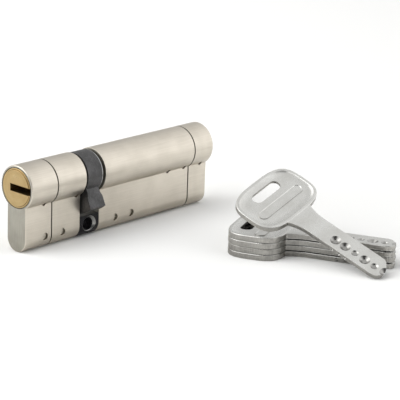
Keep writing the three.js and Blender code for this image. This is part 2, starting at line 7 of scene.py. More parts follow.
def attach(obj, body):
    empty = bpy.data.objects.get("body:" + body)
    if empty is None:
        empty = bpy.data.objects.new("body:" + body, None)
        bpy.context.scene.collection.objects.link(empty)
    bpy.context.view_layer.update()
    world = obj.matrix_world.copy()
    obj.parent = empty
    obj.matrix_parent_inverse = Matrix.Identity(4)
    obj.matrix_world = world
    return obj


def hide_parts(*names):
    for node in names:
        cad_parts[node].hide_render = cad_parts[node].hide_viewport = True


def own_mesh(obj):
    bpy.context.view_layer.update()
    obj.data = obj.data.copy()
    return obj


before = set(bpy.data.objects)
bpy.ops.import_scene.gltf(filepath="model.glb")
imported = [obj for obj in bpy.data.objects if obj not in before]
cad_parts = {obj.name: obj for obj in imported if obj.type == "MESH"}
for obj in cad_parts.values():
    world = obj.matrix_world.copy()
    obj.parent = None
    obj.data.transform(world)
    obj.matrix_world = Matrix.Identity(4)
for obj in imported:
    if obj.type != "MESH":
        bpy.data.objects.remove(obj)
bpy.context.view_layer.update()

# ---- Connecting bar ----
# The bar that holds both halves together and takes the M5 fixing screw. Steel, milled from flat stock,
# drilled and tapped, then phosphated black.

mm = 0.001
same_place = 0.001 * mm  # corners closer than this are one corner
axis_height = 19.5 * mm  # of the plugs, over the fixing screw
barrel_radius = 8.5 * mm
web_half = 5 * mm
plug_axis = Vector((0, 0, axis_height))
ways = {"X": Vector((1, 0, 0)), "Y": Vector((0, 1, 0)), "Z": Vector((0, 0, 1))}
first_turn = {"X": (0, math.pi / 2, 0), "Y": (-math.pi / 2, 0, 0), "Z": (0, 0, 0)}


def alone(piece=None):
    """Object mode, with only this piece selected."""
    active = bpy.context.view_layer.objects.active
    if active and active.mode != "OBJECT":
        bpy.ops.object.mode_set(mode="OBJECT")
    bpy.ops.object.select_all(action="DESELECT")
    if piece:
        bpy.context.view_layer.objects.active = piece
        piece.select_set(True)


def settled(name):
    """The piece just started, named, with its place put into its mesh."""
    bpy.ops.object.transform_apply(location=True, rotation=True, scale=True)
    piece = bpy.context.object
    piece.name = name
    return piece


def block(name, low, high):
    """A milled block between two corners."""
    alone()
    bpy.ops.mesh.primitive_cube_add(size=1, location=[(a + b) / 2 for a, b in zip(low, high)])
    bpy.context.object.scale = [b - a for a, b in zip(low, high)]
    return settled(name)


def turned(name, along, steps, foot=plug_axis, sides=96):
    """A turned piece round an axis through foot: steps are (distance along it, radius)."""
    alone()
    way = ways[along]
    foot = Vector(foot)
    bpy.ops.mesh.primitive_circle_add(
        vertices=sides,
        radius=steps[0][1],
        fill_type="NGON",
        location=foot + way * steps[0][0],
        rotation=first_turn[along],
    )
    piece = settled(name)
    bpy.ops.object.mode_set(mode="EDIT")
    bpy.ops.mesh.select_all(action="SELECT")
    for (start, radius), (end, next_radius) in zip(steps, steps[1:]):
        bpy.ops.mesh.extrude_region_move(TRANSFORM_OT_translate={"value": way * (end - start)})
        spread = next_radius / radius
        bpy.ops.transform.resize(
            value=[1 if part else spread for part in way], center_override=foot + way * end
        )
    bpy.ops.mesh.select_all(action="SELECT")
    bpy.ops.mesh.normals_make_consistent(inside=False)
    bpy.ops.object.mode_set(mode="OBJECT")
    return piece


def plate(name, along, outline, start, end):
    """A piece of one section all the way: an outline, pushed along X or Z from start to end."""
    alone()
    bpy.ops.mesh.primitive_circle_add(vertices=len(outline), radius=1 * mm, fill_type="NGON")
    piece = settled(name)
    for corner, (across, up) in zip(piece.data.vertices, outline):
        corner.co = (start, across, up) if along == "X" else (across, up, start)
    bpy.ops.object.mode_set(mode="EDIT")
    bpy.ops.mesh.select_all(action="SELECT")
    bpy.ops.mesh.extrude_region_move(TRANSFORM_OT_translate={"value": ways[along] * (end - start)})
    bpy.ops.mesh.select_all(action="SELECT")
    bpy.ops.mesh.normals_make_consistent(inside=False)
    bpy.ops.object.mode_set(mode="OBJECT")
    return piece


def arc(centre, radius, start, end, count):
    """Points along an arc, in degrees from the first axis towards the second."""
    angles = [math.radians(start + (end - start) * i / (count - 1)) for i in range(count)]
    return [(centre[0] + radius * math.cos(a), centre[1] + radius * math.sin(a)) for a in angles]


def shaped(piece, kind, **settings):
    """Adds one modifier with its settings and applies it."""
    alone(piece)
    modifier = piece.modifiers.new(kind.title(), kind)
    for setting, value in settings.items():
        setattr(modifier, setting, value)
    bpy.ops.object.modifier_apply(modifier=modifier.name)


def combine(piece, operation, *tools):
    """Cuts the tools out of a piece, joins them on, or keeps what they share. The tools are used up."""
    for tool in tools:
        shaped(piece, "BOOLEAN", operation=operation, object=tool, solver="EXACT")
        bpy.data.meshes.remove(tool.data)
        bpy.ops.object.mode_set(mode="EDIT")
        bpy.ops.mesh.select_all(action="SELECT")
        bpy.ops.mesh.remove_doubles(threshold=same_place)
        bpy.ops.object.mode_set(mode="OBJECT")


def profile_bar(name, start, end, inset=0):
    """A length of the euro section: the barrel, and the web with its half-round foot."""
    radius = barrel_radius - inset
    half = web_half - inset
    shoulder = math.degrees(math.asin(half / radius))
    barrel = arc((0, axis_height), radius, shoulder - 90, 270 - shoulder, 112)
    foot = arc((0, 0), half, 180, 360, 40)
    return plate(name, "X", barrel + foot, start, end)


def rgb(shade):
    """A shader's linear colour from an sRGB hex value."""
    parts = [int(shade[i : i + 2], 16) / 255 for i in (1, 3, 5)]
    return [p / 12.92 if p <= 0.04045 else ((p + 0.055) / 1.055) ** 2.4 for p in parts] + [1]


def put(material, kind, feeds=None, **settings):
    """Adds a node to a material. A feed is a socket's value, or the (node, output) it is linked to."""
    made = material.node_tree.nodes.new("ShaderNode" + kind)
    for setting, value in settings.items():
        setattr(made, setting, value)
    for socket, feed in (feeds or {}).items():
        if isinstance(feed, tuple) and isinstance(feed[0], bpy.types.Node):
            material.node_tree.links.new(feed[0].outputs[feed[1]], made.inputs[socket])
        else:
            made.inputs[socket].default_value = feed
    return made


def metal(name, tones, polish, grain, relief, metallic=1.0, rings=False):
    """A worked metal. Tones are its lighter and darker colour, polish its roughness from the smoothest
    to the dullest, grain the length of a mark along X, Y and Z, and relief how deep the marks are. With
    rings the marks run round the plugs' axis, and grain is along it, across the rings and unused."""
    material = bpy.data.materials.new(name)
    material.use_nodes = True
    material.node_tree.nodes.clear()
    place = put(material, "TexCoord")
    spot = where = (place, "Object")
    if rings:
        centred = put(material, "Mapping", {"Vector": where, "Location": -plug_axis})
        across = put(material, "Mapping", {"Vector": (centred, 0), "Scale": (0, 1, 1)})
        radius = put(material, "VectorMath", {0: (across, 0)}, operation="LENGTH")
        along = put(material, "SeparateXYZ", {0: where})
        where = (put(material, "CombineXYZ", {"X": (along, "X"), "Y": (radius, "Value")}), 0)
    scale = [1 / size for size in grain]
    fine = put(material, "Mapping", {"Vector": where, "Scale": scale})
    marks = put(material, "TexNoise", {"Vector": (fine, 0), "Scale": 1, "Detail": 4, "Roughness": 0.6})
    cloud_size = 7 * mm
    clouds = put(material, "TexNoise", {"Vector": spot, "Scale": 1 / cloud_size, "Detail": 2})
    both = put(material, "Math", {0: (marks, 0), 1: (clouds, 0)}, operation="ADD")
    spread = {"From Min": 0.75, "From Max": 1.25}
    amount = put(material, "MapRange", {"Value": (both, 0), **spread})
    tone = put(material, "Mix", {0: (amount, 0), 6: rgb(tones[0]), 7: rgb(tones[1])}, data_type="RGBA")
    smooth, dull = polish
    dullness = put(material, "MapRange", {"Value": (both, 0), **spread, "To Min": smooth, "To Max": dull})
    bump = put(material, "Bump", {"Height": (marks, 0), "Distance": relief, "Strength": 1})
    shader = put(
        material,
        "BsdfPrincipled",
        {
            "Base Color": (tone, 2),
            "Metallic": metallic,
            "Roughness": (dullness, 0),
            "Normal": (bump, 0),
        },
    )
    put(material, "OutputMaterial", {"Surface": (shader, 0)})
    return material


def finished(piece, finish, slot, body, *nodes, smooth=32):
    """Closes a piece's mesh, shades it, and gives it its finish, its body and the nodes it stands for."""
    alone(piece)
    bpy.ops.object.mode_set(mode="EDIT")
    bpy.ops.mesh.select_all(action="SELECT")
    bpy.ops.mesh.remove_doubles(threshold=same_place)
    bpy.ops.mesh.normals_make_consistent(inside=False)
    bpy.ops.object.mode_set(mode="OBJECT")
    bpy.ops.object.shade_smooth_by_angle(angle=math.radians(smooth))
    shaped(piece, "WEIGHTED_NORMAL", keep_sharp=True)
    piece.data.materials.clear()
    piece.data.materials.append(finish)
    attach(piece, body)
    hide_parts(*nodes)


def second_finish(piece, finish, test):
    """Gives the faces that pass a test of their middle and normal another finish."""
    piece.data.materials.append(finish)
    for face in piece.data.polygons:
        if test(face.center, face.normal):
            face.material_index = len(piece.data.materials) - 1


# Zinc phosphate on steel: near black and dull, with a salt-and-pepper crystal drawn 0.3 mm wide, many
# times as coarse as the coating's own, so that it shows. The front clip wears it as painted shade
phosphate_and_painted_shade = metal(
    "phosphate_and_painted_shade", ("#26262a", "#17171a"), (0.38, 0.55), [0.3 * mm] * 3, 0.01 * mm, metallic=0.7
)

# Painted highlight: the screw hole's countersunk mouth is drawn bright grey, for the light that its
# chamfer catches, with the cutter's chatter 0.3 mm across
painted_countersink_highlight = metal("painted_countersink_highlight", ("#c2c2c0", "#9a9a98"), (0.24, 0.4), [0.3 * mm] * 3, 0.01 * mm)

bar_pin_places = (13.8 * mm, 22.6 * mm)
tongue_reach = 28.4 * mm
tongue_half = 2 * mm  # of its width
tongue_high = 3.2 * mm  # to each side of the screw hole's axis
bridge_end = 4.95 * mm
bridge_top = 3.7 * mm
bar = profile_bar("bridge_bar", -bridge_end, bridge_end)
combine(bar, "DIFFERENCE", block("above", (-9 * mm, -12 * mm, bridge_top), (9 * mm, 12 * mm, 30 * mm)))
shaped(bar, "BEVEL", width=0.12 * mm, segments=2, limit_method="ANGLE", angle_limit=math.radians(50))
tongue_corner = (tongue_reach, tongue_half, tongue_high)
tongues = block("tongues", [-part for part in tongue_corner], tongue_corner)
shaped(tongues, "BEVEL", width=0.3 * mm, segments=2)
combine(bar, "UNION", tongues)
hole_radius = 1.6 * mm
for x in bar_pin_places:
    for way in (-1, 1):
        hole = turned("hole", "Y", [(-6 * mm, hole_radius), (6 * mm, hole_radius)], (way * x, 0, 0), 48)
        combine(bar, "DIFFERENCE", hole)

# The tapped hole: a countersunk mouth on each flank, and thread crests between them
thread_pitch = 0.8 * mm
groove_radius = 2.5 * mm
crest_radius = 2.15 * mm
first_crest = -3.2 * mm
mouth_in = 4.1 * mm  # where the countersink ends, from the bar's middle
thread = [(-6 * mm, 4.3 * mm), (-web_half, 3.45 * mm), (-mouth_in, groove_radius)]
for turn in range(9):
    crest = first_crest + turn * thread_pitch
    thread += [(crest - 0.3 * mm, crest_radius), (crest, crest_radius), (crest + 0.35 * mm, groove_radius)]
thread += [(mouth_in, groove_radius), (web_half, 3.45 * mm), (6 * mm, 4.3 * mm)]
combine(bar, "DIFFERENCE", turned("thread", "Y", thread, (0, 0, 0), 64))
finished(bar, phosphate_and_painted_shade, "black_steel", "root", "connecting_bar")


def in_mouth(middle, normal):
    """Whether a face is in the hole's countersink: near a flank, and turned towards the hole's axis."""
    off_axis = math.hypot(middle.x, middle.z)
    inwards = -(normal.x * middle.x + normal.z * middle.z)
    return abs(middle.y) > 4 * mm and off_axis < 3.6 * mm and inwards > 0.3 * off_axis


# The countersink's faces take the painted highlight
second_finish(bar, painted_countersink_highlight, in_mouth)

# ---- Housing halves ----
# Two lengths of drawn brass bar of the same section, each bored for a plug, drilled for its pins and
# grooved so that it snaps off outside the plug. Ground along its length, then satin nickel-plated.

# Satin nickel: warm grey-white, with faint streaks along the barrel, drawn 0.3 mm wide, twice as
# coarse as the belt's own marks, so that they show
satin_nickel = metal(
    "satin_nickel", ("#cfc8bc", "#c4bdb1"), (0.33, 0.4), (14 * mm, 0.3 * mm, 0.3 * mm), 0.0015 * mm
)

# The flat ends get a darker, greyer copy of the nickel, as painted shade; it is duller too, with
# upright lines drawn 0.3 mm wide
shaded_end_nickel = metal(
    "shaded_end_nickel", ("#aeaba1", "#a09d93"), (0.42, 0.52), (1 * mm, 0.3 * mm, 5 * mm), 0.003 * mm
)

gap_face = 5 * mm  # of each half, from the middle of the cam gap
plug_bore = 6.6 * mm
head_seat = 7.75 * mm  # radius of the mouth that takes the plug's head
head_inside = 1.45 * mm  # depth of that mouth
chamber_radius = 1.55 * mm
first_pin_in = 6.2 * mm  # from the outer end
pin_pitch = 4.5 * mm
groove_half = 0.3 * mm  # of the snap groove's width
groove_depth = 1 * mm
slot_gap = 0.1 * mm  # round the bar's tongue
side_pin_radius = 0.8 * mm
side_pin_drop = 6.7 * mm  # of their axes, under the plugs'
front_length = 32.5 * mm
rear_length = 65 * mm


def pin_places(length):
    """The five pin stacks of a half, in its own direction, from its outer end."""
    return [length - first_pin_in - i * pin_pitch for i in range(5)]


def pick(piece, kind, test):
    """Edit mode, with the corners, edges or faces selected that pass a test of their middle and way."""
    alone(piece)
    bpy.ops.object.mode_set(mode="EDIT")
    bpy.ops.mesh.select_mode(type=kind)
    bpy.ops.mesh.select_all(action="DESELECT")
    bpy.ops.object.mode_set(mode="OBJECT")
    corners = piece.data.vertices
    if kind == "FACE":
        for face in piece.data.polygons:
            face.select = test(face.center, face.normal)
    elif kind == "EDGE":
        for edge in piece.data.edges:
            start, end = (corners[i].co for i in edge.vertices)
            edge.select = test((start + end) / 2, (end - start).normalized())
    else:
        for corner in corners:
            corner.select = test(corner.co, corner.normal)
    bpy.ops.object.mode_set(mode="EDIT")


def round_over(piece, face_x, size, segments):
    """Rounds the edge of the flat end at face_x."""
    pick(piece, "FACE", lambda middle, normal: abs(middle.x - face_x) < 0.01 * mm and abs(normal.x) > 0.9)
    bpy.ops.mesh.region_to_loop()
    bpy.ops.mesh.bevel(offset=size, segments=segments, affect="EDGES")
    bpy.ops.object.mode_set(mode="OBJECT")


def half_turn(piece):
    """Turns a piece of the front half round, because both halves are one design."""
    alone(piece)
    piece.rotation_euler.z = math.pi
    bpy.ops.object.transform_apply(location=False, rotation=True, scale=False)


for side, length, groove_in in (("front", front_length, 13 * mm), ("rear", rear_length, 10.6 * mm)):
    half = profile_bar(f"{side}_housing", gap_face, length)
    round_over(half, length, 0.5 * mm, 4)
    round_over(half, gap_face, 0.15 * mm, 2)

    # The snap groove follows the section all round
    groove = length - groove_in
    near, far = groove - groove_half, groove + groove_half
    collar = block("collar", (near, -14 * mm, -8 * mm), (far, 14 * mm, 32 * mm))
    combine(collar, "DIFFERENCE", profile_bar("core", groove - 1 * mm, groove + 1 * mm, groove_depth))
    bore = [
        (0, plug_bore),
        (length - head_inside, plug_bore),
        (length - head_inside, head_seat),
        (length + 1 * mm, head_seat),
    ]
    side_wall, slot_top = tongue_half + slot_gap, tongue_high + slot_gap
    slot = block("slot", (0, -side_wall, -slot_top), (tongue_reach + slot_gap, side_wall, slot_top))
    tools = [collar, turned("bore", "X", bore), slot]

    # Each cross hole is drawn in a little at its mouths, where it is staked over its pin
    wide, narrow = 1.65 * mm, 1.4 * mm
    hole = [
        (-6 * mm, narrow),
        (-4.35 * mm, narrow),
        (-4.25 * mm, wide),
        (4.25 * mm, wide),
        (4.35 * mm, narrow),
        (6 * mm, narrow),
    ]
    for x in bar_pin_places:
        tools.append(turned("hole", "Y", hole, (x, 0, 0), 48))
    for x in pin_places(length):
        chamber = [(-6 * mm, chamber_radius), (axis_height, chamber_radius)]
        tools.append(turned("chamber", "Z", chamber, (x, 0, 0), 48))

    # Drillings for side pins, along both shoulders, where the barrel meets the web
    for flank, places in ((-1, (4, 13.3, 22.5)), (1, (9, 25.5))):
        for inwards in places:
            drilling = [(flank * 8 * mm, side_pin_radius), (flank * 3.2 * mm, side_pin_radius)]
            spot = (length - inwards * mm, 0, axis_height - side_pin_drop)
            tools.append(turned("drilling", "Y", drilling, spot, 24))
    combine(half, "DIFFERENCE", *tools)
    if side == "front":
        half_turn(half)
    finished(half, satin_nickel, "satin_nickel", "root", f"{side}_body")
    # The ends take the painted shade
    second_finish(half, shaded_end_nickel, lambda middle, normal: abs(normal.x) > 0.95)

# ---- Cross pins of the bar ----
# Four dowels pressed through the webs and the bar's tongues, a little below the flanks. Steel, cropped
# and barrelled, then plated with the housing.

# Barrelled nickel: paler and brighter than the housing, dented every way, drawn 0.5 mm wide
barrelled_nickel = metal(
    "barrelled_nickel", ("#d8d3c8", "#b5afa3"), (0.25, 0.42), [0.5 * mm] * 3, 0.01 * mm
)


def copied(pattern, name, place, turn=(0, 0, 0)):
    """A copy of a finished shape, with its own mesh, put in its place."""
    piece = pattern.copy()
    piece.data = pattern.data.copy()
    piece.name = name
    bpy.context.collection.objects.link(piece)
    piece.location = place
    piece.rotation_euler = turn
    alone(piece)
    bpy.ops.object.transform_apply(location=True, rotation=True, scale=True)
    return piece


dowel_end = 4.2 * mm  # from its middle, below the flank at 5 mm
dowel_radius = 1.5 * mm
dowel_chamfer = 0.3 * mm
dowel_tip = 1.2 * mm
dowel = [
    (-dowel_end, dowel_tip),
    (dowel_chamfer - dowel_end, dowel_radius),
    (dowel_end - dowel_chamfer, dowel_radius),
    (dowel_end, dowel_tip),
]
dowel_pattern = turned("dowel_pattern", "Y", dowel, (0, 0, 0), 48)
for number, x in enumerate(bar_pin_places, 1):
    for side, way in (("front", -1), ("rear", 1)):
        pin = copied(dowel_pattern, f"{side}_dowel_{number}", (way * x, 0, 0))
        finished(pin, barrelled_nickel, "satin_nickel", "root", f"{side}_bar_pin_{number}")
bpy.data.meshes.remove(dowel_pattern.data)

# ---- Pin stacks ----
# Under each plug stand five stacks: a brass plug that closes the drilling, a coil spring, a hardened
# driver and the brass pin that the key's dimple sets. All are turned or coiled, and drop in from below.

# Turned brass, yellower than the plugs' faces, and hardened steel, dark from its quench; then bright
# drawn wire. Their tool and die marks are drawn 0.2 to 0.25 mm wide, coarser than the real ones
turned_brass = metal(
    "turned_brass", ("#c9a866", "#a98847"), (0.28, 0.42), [0.25 * mm] * 3, 0.006 * mm
)
hardened_steel = metal(
    "hardened_steel", ("#6a6a6e", "#47474b"), (0.3, 0.45), [0.25 * mm] * 3, 0.006 * mm
)
drawn_spring_wire = metal(
    "drawn_spring_wire", ("#c3c5c8", "#9b9da0"), (0.22, 0.36), [0.2 * mm] * 3, 0.004 * mm
)

pin_radius = 1.45 * mm
driver_top = axis_height - plug_bore
driver_foot = driver_top - 3 * mm
coil_floor = driver_foot - 4.4 * mm

pin_edge = 0.15 * mm
key_pin_foot = axis_height - 6.3 * mm
key_pin_shoulder = axis_height - 3 * mm
key_pin_neck = 1 * mm
key_pin = [
    (key_pin_foot, pin_radius - pin_edge),
    (key_pin_foot + pin_edge, pin_radius),
    (key_pin_shoulder - pin_edge, pin_radius),
    (key_pin_shoulder, pin_radius - pin_edge),
    (key_pin_shoulder, key_pin_neck),
    (axis_height - 1.4 * mm, key_pin_neck),
    (axis_height - 1.1 * mm, 0.78 * mm),
    (axis_height - 0.9 * mm, 0.4 * mm),
]
key_pin_pattern = turned("key_pin_pattern", "Z", key_pin, (0, 0, 0), 40)


def driver(waist):
    """A driver's steps. The waisted ones make the lock harder to pick."""
    return [
        (driver_foot, pin_radius - pin_edge),
        (driver_foot + pin_edge, pin_radius),
        (driver_foot + 0.75 * mm, pin_radius),
        (driver_foot + 1.1 * mm, waist),
        (driver_top - 1.1 * mm, waist),
        (driver_top - 0.75 * mm, pin_radius),
        (driver_top - pin_edge, pin_radius),
        (driver_top, pin_radius - pin_edge),
    ]


driver_patterns = [
    turned("plain_driver", "Z", driver(pin_radius), (0, 0, 0), 40),
    turned("waisted_driver", "Z", driver(1.1 * mm), (0, 0, 0), 40),
]

# The spring: four turns of 0.36 mm wire, its two ends closed
wire_radius = 0.18 * mm
coil_radius = 1.19 * mm
coil_turns = 4
coil_rise = driver_foot - coil_floor - 0.1 * mm - 2 * wire_radius
alone()
bpy.ops.mesh.primitive_circle_add(
    vertices=12,
    radius=wire_radius,
    location=(0, 0, coil_floor + 0.05 * mm + wire_radius),
    rotation=(math.pi / 2, 0, 0),
)
coil_pattern = bpy.context.object
bpy.ops.object.transform_apply(location=False, rotation=True, scale=False)
bpy.ops.object.mode_set(mode="EDIT")
bpy.ops.mesh.select_all(action="SELECT")
bpy.ops.transform.translate(value=(coil_radius, 0, 0))
bpy.ops.object.mode_set(mode="OBJECT")
shaped(
    coil_pattern,
    "SCREW",
    axis="Z",
    angle=2 * math.pi,
    screw_offset=coil_rise / coil_turns,
    iterations=coil_turns,
    steps=28,
    render_steps=28,
)
bpy.ops.object.transform_apply(location=True, rotation=True, scale=True)
pick(coil_pattern, "EDGE", lambda middle, way: True)
bpy.ops.mesh.fill_holes(sides=0)
bpy.ops.object.mode_set(mode="OBJECT")

for side, way, length in (("front", -1, front_length), ("rear", 1, rear_length)):
    for number, inwards in enumerate(pin_places(length), 1):
        x = way * inwards
        place = (x, 0, 0)
        pin = copied(key_pin_pattern, f"{side}_setting_pin_{number}", place)
        finished(pin, turned_brass, "pin_brass", f"{side}_key_pin_{number}", f"{side}_key_pin_{number}")
        pin = copied(driver_patterns[number % 2 == 0], f"{side}_driving_pin_{number}", place)
        finished(pin, hardened_steel, "sintered_steel", f"{side}_driver_{number}", f"{side}_driver_{number}")
        coil = copied(coil_pattern, f"{side}_coil_{number}", place)
        finished(coil, drawn_spring_wire, "spring_steel", "root", f"{side}_pin_spring_{number}")
        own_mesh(coil)
        # Over the bar's tongue the stopper is short, and elsewhere it closes the drilling
        stopper_foot = 3.5 * mm if inwards < tongue_reach + chamber_radius else -4.7 * mm
        stopper = [
            (stopper_foot, chamber_radius - 0.25 * mm),
            (stopper_foot + 0.2 * mm, chamber_radius - 0.05 * mm),
            (coil_floor - 0.2 * mm, chamber_radius - 0.05 * mm),
            (coil_floor, chamber_radius - 0.25 * mm),
        ]
        stopper = turned(f"{side}_stopper_{number}", "Z", stopper, place, 48)
        finished(stopper, turned_brass, "pin_brass", "root", f"{side}_chamber_plug_{number}")
for pattern in (key_pin_pattern, *driver_patterns, coil_pattern):
    bpy.data.meshes.remove(pattern.data)

# ---- Plugs ----
# The two cores that the keys turn. Brass bar, turned with a head that sits in the housing's mouth,
# slotted for the flat key and drilled from below for its pins; the faces keep their turning marks.

# Faced brass: soft gold, with rings round the axis, drawn 0.35 mm apart, coarser than the tool's feed,
# so that they show
faced_brass = metal(
    "faced_brass",
    ("#c1aa7e", "#b2986a"),
    (0.26, 0.4),
    (4 * mm, 0.35 * mm, 1 * mm),
    0.008 * mm,
    rings=True,
)

face_proud = 0.45 * mm  # of the housing's end
key_reach = 29 * mm  # of a key pushed in, from the face
spigot = 5 * mm
plug_radius = 6.5 * mm
head_radius = 7.45 * mm
head_under = 1.35 * mm  # of the head, inside the housing's end
clip_seat = 4.5 * mm  # radius of the clip's groove
keyway_half = 1.4 * mm  # of its height
pin_tip_hole = 1.1 * mm
for side, length, clip_at in (("front", front_length, 4.4 * mm), ("rear", rear_length, 3.5 * mm)):
    face = length + face_proud
    key_tip = face - key_reach
    steps = [
        (2.9 * mm, spigot - 0.2 * mm),
        (3.1 * mm, spigot),
        (clip_at - 0.05 * mm, spigot),
        (clip_at - 0.05 * mm, clip_seat),
        (clip_at + 0.55 * mm, clip_seat),
        (clip_at + 0.55 * mm, spigot),
        (5.1 * mm, spigot),
        (5.1 * mm, 6.3 * mm),
        (5.3 * mm, plug_radius),
        (length - head_under, plug_radius),
        (length - head_under, 7.35 * mm),
        (length - 1.25 * mm, head_radius),
        # The rim steps back, with a fine groove inside the step
        (face - 0.45 * mm, head_radius),
        (face - 0.38 * mm, 7.36 * mm),
        (face - 0.38 * mm, 7 * mm),
        (face - 0.55 * mm, 6.95 * mm),
        (face - 0.15 * mm, 6.86 * mm),
        (face - 0.04 * mm, 6.8 * mm),
        (face, 6.68 * mm),
    ]
    core = turned(f"{side}_core", "X", steps, sides=128)
    keyway_low, keyway_high = axis_height - keyway_half, axis_height + keyway_half
    keyway = block("keyway", (key_tip + 2 * mm, -2.9 * mm, keyway_low), (face + 1 * mm, 9 * mm, keyway_high))
    nose = block("nose", (key_tip - 0.2 * mm, -2.4 * mm, keyway_low), (face, 2.4 * mm, keyway_high))
    pocket_low, pocket_high = axis_height - 3.6 * mm, axis_height + 3.6 * mm
    tools = [
        keyway,
        nose,
        turned("rod_bore", "X", [(0, 1.55 * mm), (key_tip, 1.55 * mm)], sides=40),
        block("pocket", (0, -1.4 * mm, pocket_low), (6 * mm, 1.4 * mm, pocket_high)),
    ]
    for x in pin_places(length):
        drilling = [
            (axis_height - 7 * mm, chamber_radius),
            (axis_height - 1.7 * mm, chamber_radius),
            (axis_height - 1.7 * mm, pin_tip_hole),
            (axis_height, pin_tip_hole),
        ]
        tools.append(turned("drilling", "Z", drilling, (x, 0, 0), 48))
    combine(core, "DIFFERENCE", *tools)
    if side == "front":
        half_turn(core)
    finished(core, faced_brass, "plug_brass", f"{side}_plug", f"{side}_plug")

# ---- Clutch ----
# Two notched discs between the plugs let one key at a time drive the cam, and a rod carries the key's
# push down the long plug. Sintered steel, pressed and sized.

# Sintered steel, sized but not coated: dark grey, its pores drawn 0.35 mm wide, coarser than they are
sintered_steel = metal(
    "sintered_steel", ("#5c5c5f", "#3c3c3f"), (0.42, 0.6), [0.35 * mm] * 3, 0.02 * mm, metallic=0.8
)

disc_half = 0.8 * mm  # of its thickness
disc_radius = 5 * mm
notch_half = 1.3 * mm
for side, centre in (("front", 0), ("rear", 1.9 * mm)):
    disc = [
        (centre - disc_half, 4.85 * mm),
        (centre - 0.65 * mm, disc_radius),
        (centre + 0.65 * mm, disc_radius),
        (centre + disc_half, 4.85 * mm),
    ]
    clutch = turned(f"{side}_clutch", "X", disc, sides=96)
    for way in (-1, 1):
        near, far = sorted((axis_height + way * 3.7 * mm, axis_height + way * 6 * mm))
        notch = block("notch", (centre - 2 * mm, -notch_half, near), (centre + 2 * mm, notch_half, far))
        combine(clutch, "DIFFERENCE", notch)
    tongue_low, tongue_high = axis_height - 3.5 * mm, axis_height + 3.5 * mm
    tongue = block("tongue", (centre, -notch_half, tongue_low), (centre + 3.9 * mm, notch_half, tongue_high))
    shaped(tongue, "BEVEL", width=0.2 * mm, segments=2)
    combine(clutch, "UNION", tongue)
    if side == "front":
        half_turn(clutch)
    finished(clutch, sintered_steel, "sintered_steel", f"{side}_coupling", f"{side}_coupling")

rod_radius = 1.45 * mm
rod_tip = 1.2 * mm
rod = [
    (5.9 * mm, rod_tip),
    (6.15 * mm, rod_radius),
    (36.1 * mm, rod_radius),
    (36.35 * mm, rod_tip),
]
thrust_rod = turned("thrust_rod", "X", rod, sides=40)
finished(thrust_rod, sintered_steel, "sintered_steel", "push_rod", "rear_push_rod")

# ---- Cam ----
# The ring that either plug turns, with the lever that throws the bolt. Pressed and sintered steel,
# steam-treated: charcoal grey, faintly porous, with the sizing die's marks round the ring.

# Its pores are drawn 0.4 mm wide, and longer round the ring
steamed_steel = metal(
    "steamed_steel",
    ("#5a595a", "#444444"),
    (0.36, 0.52),
    (0.4 * mm, 0.9 * mm, 0.9 * mm),
    0.02 * mm,
    metallic=0.8,
)

cam_from, cam_to = -4.3 * mm, 3.4 * mm
cam_middle = (cam_from + cam_to) / 2
cam_bore = 5.2 * mm
lever_half = 4.1 * mm
tip_radius = 15.3 * mm
neck_inset = 0.7 * mm  # at each side
neck_foot = -8.9 * mm  # from the axis, and the lever is full width again at its shoulder
lever_shoulder = -10.8 * mm
lever_tilt = math.radians(26)
lever = block("lever", (cam_from, -lever_half, -16 * mm), (cam_to, lever_half, -6.2 * mm))
for level in (neck_foot, lever_shoulder):
    pick(lever, "FACE", lambda middle, normal: True)
    bpy.ops.mesh.bisect(plane_co=(0, 0, level), plane_no=(0, 0, 1), threshold=1e-7)
pick(lever, "VERT", lambda corner, normal: corner.z > -9 * mm)
neck = 1 - 2 * neck_inset / (cam_to - cam_from)
bpy.ops.transform.resize(value=(neck, 1, 1), center_override=(cam_middle, 0, -9 * mm))
bpy.ops.object.mode_set(mode="OBJECT")
sweep = turned("sweep", "X", [(-6 * mm, tip_radius), (6 * mm, tip_radius)], (0, 0, 0), 192)
combine(lever, "INTERSECT", sweep)
alone(lever)
lever.location = plug_axis
lever.rotation_euler.x = -lever_tilt
bpy.ops.object.transform_apply(location=True, rotation=True, scale=False)

# A thrust face stands a little proud of the ring on the front side
ring_from = cam_from + 0.35 * mm
thrust_radius, ring_radius = 7.2 * mm, 8.2 * mm
ring = [
    (cam_from, thrust_radius),
    (ring_from, thrust_radius),
    (ring_from, ring_radius),
    (cam_to, ring_radius),
]
cam = turned("cam_with_lever", "X", ring, sides=120)
combine(cam, "UNION", lever)
shaped(cam, "BEVEL", width=0.14 * mm, segments=2, limit_method="ANGLE", angle_limit=math.radians(45))
combine(cam, "DIFFERENCE", turned("bore", "X", [(-6 * mm, cam_bore), (6 * mm, cam_bore)]))
for way in (-1, 1):
    low, high = sorted((axis_height + way * 3.8 * mm, axis_height + way * 6.2 * mm))
    combine(cam, "UNION", block("tooth", (-0.9 * mm, -1.2 * mm, low), (0.9 * mm, 1.2 * mm, high)))
finished(cam, steamed_steel, "sintered_steel", "cam", "cam")

# ---- Retaining clips ----
# An open ring snaps into the groove of each plug's spigot and keeps it in its half. Spring steel,
# stamped and bright.

# Stamped strip: bright, its roll marks drawn 0.3 mm wide
stamped_spring_steel = metal(
    "stamped_spring_steel", ("#b4b5b4", "#8d8e8e"), (0.2, 0.34), [0.3 * mm] * 3, 0.005 * mm
)
